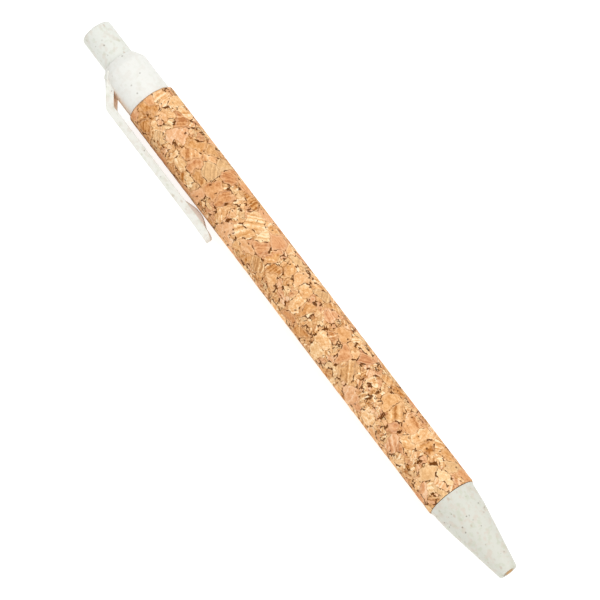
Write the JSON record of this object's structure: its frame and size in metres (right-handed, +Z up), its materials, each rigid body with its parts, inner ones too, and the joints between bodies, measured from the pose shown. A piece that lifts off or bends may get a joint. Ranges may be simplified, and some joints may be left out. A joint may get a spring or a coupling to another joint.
{
  "type": "ballpoint pen",
  "caption": "Retractable ballpoint pen with a cork barrel, pale speckled plastic collar, spring clip, push button and tapered nose, refill retracted.",
  "frame": {"origin": "middle of the pen's bounding box, on the surface it lies on", "axes": "+X along the pen from the push button to the writing tip, +Z up, -Y towards the side where the clip is"},
  "size_m": [0.138, 0.0132, 0.0105],
  "materials": {
    "cork": "natural agglomerated cork, matt",
    "kraft_card": "unbleached card tube",
    "straw_plastic": "off-white plastic with fine straw flecks, satin",
    "white_plastic": "plain white moulding",
    "clear_plastic": "translucent tube",
    "ink": "blue oil-based ink",
    "brass": "turned, bright",
    "spring_steel": "drawn wire",
    "carbide": "polished ball"
  },
  "bodies": {
    "barrel": {"cork_sleeve": "cork", "liner_tube": "kraft_card", "front_bush": "white_plastic", "nose_cone": "straw_plastic", "collar": "straw_plastic", "cam_body": "white_plastic", "return_spring": "spring_steel"},
    "clip": {"clip": "straw_plastic"},
    "plunger": {"push_button": "straw_plastic", "thrust_cam": "white_plastic"},
    "refill": {"refill_tube": "clear_plastic", "ink_column": "ink", "writing_tip": "brass"},
    "rotor": {"rotor": "white_plastic"},
    "ball": {"writing_ball": "carbide"}
  },
  "joints": [
    {"name": "button_press", "type": "slide", "parent": "barrel", "child": "plunger", "axis": [1, 0, 0], "range_m": [0, 0.007], "stiffness_N_per_m": 300, "springref_m": -0.006},
    {"name": "refill_slide", "type": "slide", "parent": "barrel", "child": "refill", "axis": [1, 0, 0], "range_m": [0, 0.007], "deforming": ["return_spring"]},
    {"name": "rotor_index", "type": "hinge", "parent": "refill", "child": "rotor", "pos_m": [-0.04, 0.00132, 0.00524], "axis": [1, 0, 0], "range_deg": [0, 30]},
    {"name": "clip_flex", "type": "hinge", "parent": "barrel", "child": "clip", "pos_m": [-0.059, -0.00285, 0.00329], "axis": [0, 0.4226, -0.9063], "range_deg": [0, 6], "stiffness_Nm_per_rad": 0.2},
    {"name": "ball_roll", "type": "hinge", "parent": "refill", "child": "ball", "pos_m": [0.0664, 0.00132, 0.00524], "axis": [0, 0.9063, 0.4226], "continuous": true}
  ],
  "couplings": [
    {"joint": "refill_slide", "follows": "button_press", "ratio": 1},
    {"joint": "rotor_index", "follows": "button_press", "rad_per_m": 74.79}
  ]
}
